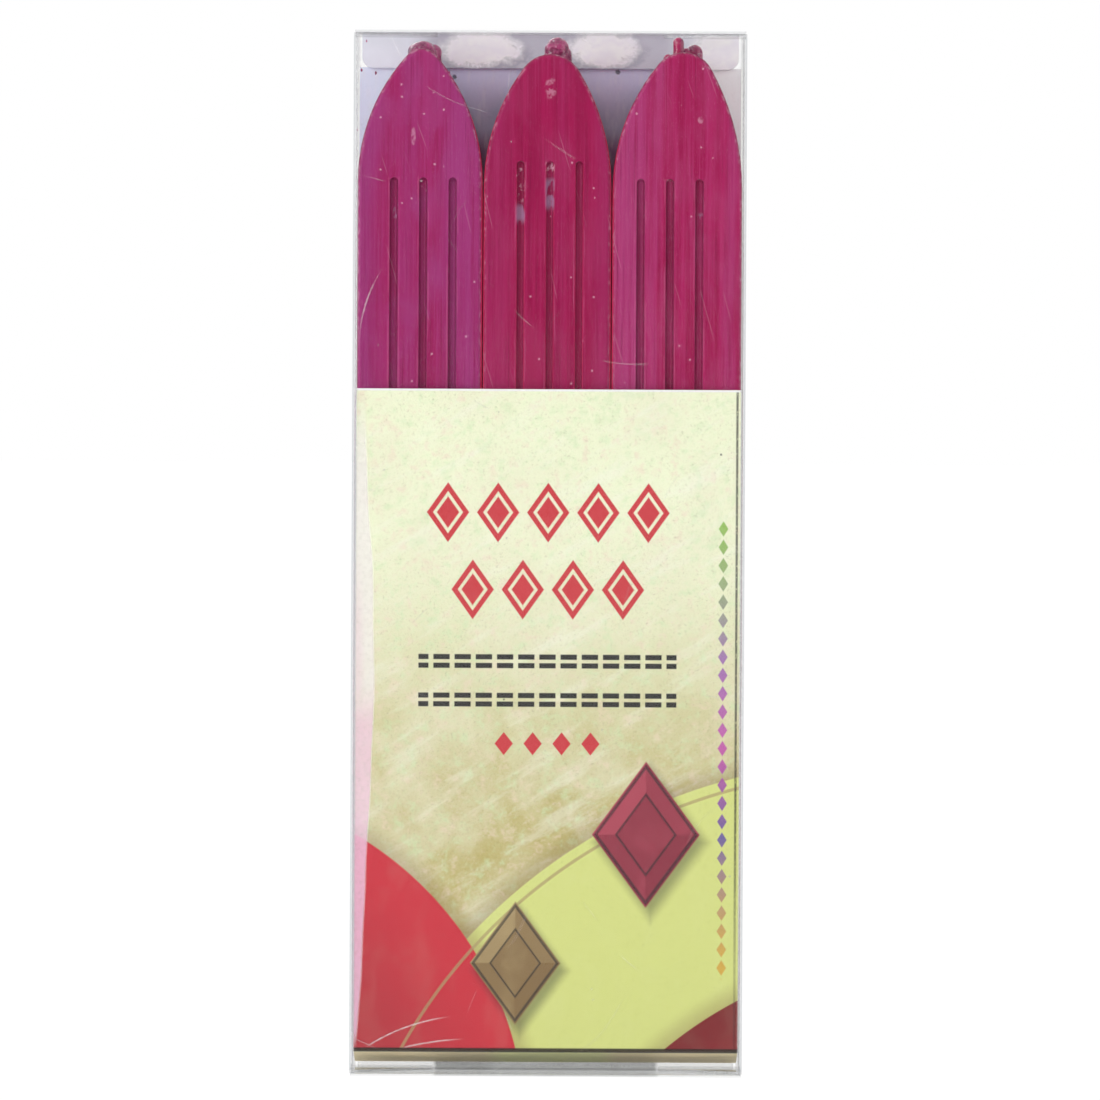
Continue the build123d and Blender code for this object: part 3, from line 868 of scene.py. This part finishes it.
def whitenFolds(tree, name, spot, grain, share, colour):
    # folds and cut edges are whitened and dull
    offMiddle = unsigned(tree, spot["Across"])
    offCore = unsigned(tree, spot["Deep"])
    if name == "walls":
        folds = both(
            tree, spread(tree, offMiddle, sleeveWide - 0.65, sleeveWide - 0.35),
            spread(tree, offCore, sleeveDeep - 0.65, sleeveDeep - 0.35),
        )
        folds = most(tree, folds, spread(tree, spot["Up"], sleeveTop - 0.55, sleeveTop - 0.25))
    else:
        folds = most(
            tree, spread(tree, offMiddle, sleeveWide - 0.4, sleeveWide - 0.2),
            spread(tree, offCore, sleeveDeep - 0.6, sleeveDeep - 0.4),
        )
        cutFace = spread(tree, unsigned(tree, spot["FaceUp"]), 0.6, 0.3)
        share, colour = whiten(tree, share, colour, cutFace, clearSheet["cutShare"])
    folds = both(tree, folds, spread(tree, grain, 0.25, 0.6, 0.6, 1.0))
    return whiten(tree, share, colour, folds, clearSheet["creaseShare"])


def layerSheet(tree, surface, look, grain, share, colour, height):
    # scuffs, scratches and the painted light and shade lie on the sheet as a thin matte skin, the rest is
    # looked through
    skin = addNode(tree, "ShaderNodeBsdfPrincipled")
    feed(tree, skin.inputs["Base Color"], colour)
    feed(tree, skin.inputs["Alpha"], share)
    skin.inputs["Roughness"].default_value = 0.8
    skin.inputs["Specular IOR Level"].default_value = 0.0
    clear = addNode(tree, "ShaderNodeBsdfTransparent")
    clear.inputs["Color"].default_value = look["edgeOn"]
    weight = addNode(tree, "ShaderNodeLayerWeight")
    weight.inputs["Blend"].default_value = 0.5
    worn = addNode(tree, "ShaderNodeMixShader")
    feed(tree, worn.inputs[0], spread(tree, weight.outputs["Facing"], 0.55, 1.0))
    tree.links.new(skin.outputs[0], worn.inputs[1])
    tree.links.new(clear.outputs[0], worn.inputs[2])
    bump = addNode(tree, "ShaderNodeBump")
    bump.inputs["Strength"].default_value = 1.0
    bump.inputs["Distance"].default_value = mm
    feed(tree, bump.inputs["Height"], height)
    gloss = addNode(tree, "ShaderNodeBsdfGlossy")
    feed(tree, gloss.inputs["Roughness"], spread(tree, grain, 0.3, 0.7, 0.04, 0.14))
    feed(tree, gloss.inputs["Normal"], bump.outputs[0])
    # only the outer skin mirrors, so that light is not caught inside the sheet
    fresnel = addNode(tree, "ShaderNodeFresnel")
    fresnel.inputs["IOR"].default_value = clearSheet["refraction"]
    inside = addNode(tree, "ShaderNodeNewGeometry")
    sheet = addNode(tree, "ShaderNodeMixShader")
    outer = minus(tree, 1.0, inside.outputs["Backfacing"])
    feed(tree, sheet.inputs[0], times(tree, fresnel.outputs[0], outer))
    tree.links.new(worn.outputs[0], sheet.inputs[1])
    tree.links.new(gloss.outputs[0], sheet.inputs[2])
    tree.links.new(sheet.outputs[0], surface)


def makeClearSheet(name, look):
    material, tree, surface = newMaterial("clearSheet" + name.title())
    spot = useGroup(tree, partPlace)
    place = spot["Place"]
    grain = useGroup(tree, fineGrain, Place=place, Scale=1.8)["Grain"]
    share = handlingMarks(tree, place)
    colour = look["haze"]
    height = times(tree, noise(tree, place, 0.06, 1.0, 0.4), 0.1)
    if look["share"]:
        cloud = useGroup(tree, softMottle, Place=place, Scale=0.16, Low=0.45, High=0.75)["Mask"]
        share = plus(tree, spread(tree, cloud, 0.0, 1.0, *look["share"]), share)
    if name == "tuck":
        share, colour = tuckShadeAndScuffs(tree, spot, share, colour)
    if name == "base":
        share, colour = baseShadow(tree, spot, share, colour)
    if name == "walls":
        share, colour, height = bendFront(tree, spot, grain, share, colour, height)
        share = glueLap(tree, spot, grain, share)
    if name in ("walls", "flaps"):
        share, colour = whitenFolds(tree, name, spot, grain, share, colour)
    layerSheet(tree, surface, look, grain, share, colour, height)
    return material


waxMaterials = {name: makeWax(name, tone) for name, tone in waxSticks.items()}
wickMaterials = {name: makeWickEnd(name, tone) for name, tone in wickEnds.items()}
cardMaterial = makeCard()
sheetMaterials = {name: makeClearSheet(name, look) for name, look in sheetPieces.items()}
print("finishes made for wax, wicks, card and clear sheet")


def dress(name, material):
    slots = cadNodes[name].data.materials
    slots.clear()
    slots.append(material)


sheetOf = {
    "carton_sleeve": "walls", "top_lid": "flaps", "top_tuck_flap": "tuck",
    "top_dust_flap_left": "flaps", "top_dust_flap_right": "flaps",
    "bottom_panel": "base", "bottom_tuck_flap": "base",
    "bottom_dust_flap_left": "baseFlaps", "bottom_dust_flap_right": "baseFlaps",
}
for name, sheet in sheetOf.items():
    dress(name, sheetMaterials[sheet])
for side in waxSticks:
    dress("wax_stick_" + side, waxMaterials[side])
    dress("wick_" + side, wickMaterials[side])
dress("card_insert", cardMaterial)
print("nodes dressed")


# loose wax crumbs that cling inside the front wall, as place across and up with size
waxCrumbs = {
    "wallInside": -5.45, "seed": 4, "flatness": 0.45, "tallness": 1.5,
    "places": (
        (-19.6, 104.4, 0.26), (-18.1, 104.1, 0.3), (-19.1, 107.4, 0.22),
        (-10.5, 104.2, 0.22), (-20.0, 98.2, 0.18),
    ),
}


def makeWaxCrumbs():
    mesh = bmesh.new()
    for x, z, size in waxCrumbs["places"]:
        made = bmesh.ops.create_icosphere(mesh, subdivisions=3, radius=size / 2)
        shift = Vector((x * 7.3, waxCrumbs["seed"], z * 3.1))
        for vert in made["verts"]:
            lump = 0.75 + 0.5 * mathNoise.noise(vert.co * (2.2 / size) + shift)
            shape = Vector((lump, lump * waxCrumbs["flatness"], lump * waxCrumbs["tallness"]))
            vert.co = vert.co * shape
            vert.co += Vector((x, waxCrumbs["wallInside"] + 0.3 * size, z))
    bmesh.ops.scale(mesh, vec=(mm, mm, mm), verts=mesh.verts)
    data = bpy.data.meshes.new("waxCrumbs")
    mesh.to_mesh(data)
    mesh.free()
    data.polygons.foreach_set("use_smooth", [True] * len(data.polygons))
    crumbs = bpy.data.objects.new("waxCrumbs", data)
    bpy.context.collection.objects.link(crumbs)
    data.materials.append(wickMaterials["left"])
    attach(crumbs, "carton")


makeWaxCrumbs()
print("wax crumbs placed")


# studio: white floor and surroundings, soft light mostly from the left
studio = {
    "floorColour": (0.9, 0.9, 0.9, 1), "floorLift": 0.9, "floorLevel": 1.07,
    "worldLight": 0.54, "cameraSide": 0.1,
    # lamps, as name, place, size and power
    "lamps": (
        ("leftLamp", (-0.75, -0.55, 0.3), (0.34, 0.5), 3.75),
        ("highLamp", (-0.15, -0.7, 0.8), (0.8, 0.6), 2.2),
        ("rightLamp", (0.9, -0.45, 0.35), (0.5, 0.5), 1.9),
        ("backLamp", (-0.35, 0.9, 0.5), (0.6, 0.6), 2.2),
    ),
    "aim": (0.0, 0.0, 0.055),
}


def makeFloor():
    bpy.ops.mesh.primitive_plane_add(size=12)
    floor = bpy.context.object
    floor.name = "studioFloor"
    material, tree, surface = newMaterial("floorWhite")
    matte = addNode(tree, "ShaderNodeBsdfDiffuse")
    matte.inputs["Color"].default_value = studio["floorColour"]
    lift = addNode(tree, "ShaderNodeEmission")
    lift.inputs["Strength"].default_value = studio["floorLevel"]
    mix = addNode(tree, "ShaderNodeMixShader")
    path = addNode(tree, "ShaderNodeLightPath")
    seen = most(tree, path.outputs["Is Camera Ray"], path.outputs["Is Glossy Ray"])
    seen = most(tree, seen, path.outputs["Is Transmission Ray"])
    feed(tree, mix.inputs[0], times(tree, seen, studio["floorLift"]))
    tree.links.new(matte.outputs[0], mix.inputs[1])
    tree.links.new(lift.outputs[0], mix.inputs[2])
    tree.links.new(mix.outputs[0], surface)
    floor.data.materials.append(material)


def makeWorld():
    world = bpy.data.worlds.new("studioWorld")
    bpy.context.scene.world = world
    world.use_nodes = True
    tree = world.node_tree
    tree.nodes.clear()
    path = addNode(tree, "ShaderNodeLightPath")
    seen = most(tree, path.outputs["Is Camera Ray"], path.outputs["Is Transmission Ray"])
    level = spread(tree, seen, 0.0, 1.0, studio["worldLight"], 1.0)
    # mirrored, the room is white behind the pack and dim in front of it
    split = addNode(tree, "ShaderNodeSeparateXYZ")
    feed(tree, split.inputs[0], addNode(tree, "ShaderNodeTexCoord").outputs["Generated"])
    mirrored = spread(tree, split.outputs["Y"], -0.7, -0.1, studio["cameraSide"], 1.0)
    mix = addNode(tree, "ShaderNodeMix")
    feed(tree, mix.inputs[0], path.outputs["Is Glossy Ray"])
    feed(tree, mix.inputs[2], level)
    feed(tree, mix.inputs[3], mirrored)
    room = addNode(tree, "ShaderNodeBackground")
    room.inputs["Color"].default_value = (1, 1, 1, 1)
    feed(tree, room.inputs["Strength"], mix.outputs[0])
    tree.links.new(room.outputs[0], addNode(tree, "ShaderNodeOutputWorld").inputs["Surface"])


def addLamp(name, place, size, power):
    lamp = bpy.data.lights.new(name, "AREA")
    lamp.shape = "RECTANGLE"
    lamp.size, lamp.size_y = size
    lamp.energy = power
    holder = bpy.data.objects.new(name, lamp)
    holder.location = place
    holder.rotation_euler = (Vector(studio["aim"]) - Vector(place)).to_track_quat("-Z", "Y").to_euler()
    bpy.context.collection.objects.link(holder)


makeFloor()
makeWorld()
for lamp in studio["lamps"]:
    addLamp(*lamp)
bpy.context.scene.view_settings.view_transform = "Standard"
print("studio lit")


# camera: square on to the front, from far back and a little above the middle
camera = {
    "distance": 1.16, "height": 0.076, "frameHeight": 0.1141, "aim": (0.0002, 0.05473), "roll": 0.3,
    "sensor": 36, "clip": (0.01, 50),
}


def makeCamera():
    lens = bpy.data.cameras.new("frontCamera")
    lens.sensor_width = camera["sensor"]
    lens.lens = camera["sensor"] * camera["distance"] / camera["frameHeight"]
    lens.clip_start, lens.clip_end = camera["clip"]
    holder = bpy.data.objects.new("frontCamera", lens)
    frontFace = cadBox[0][1]
    aimX, aimZ = camera["aim"]
    place = Vector((aimX, frontFace - camera["distance"], camera["height"]))
    turn = (Vector((aimX, frontFace, aimZ)) - place).to_track_quat("-Z", "Y")
    holder.rotation_mode = "QUATERNION"
    holder.rotation_quaternion = turn @ Quaternion((0, 0, 1), math.radians(camera["roll"]))
    holder.location = place
    bpy.context.collection.objects.link(holder)
    bpy.context.scene.camera = holder


makeCamera()
print("camera placed")
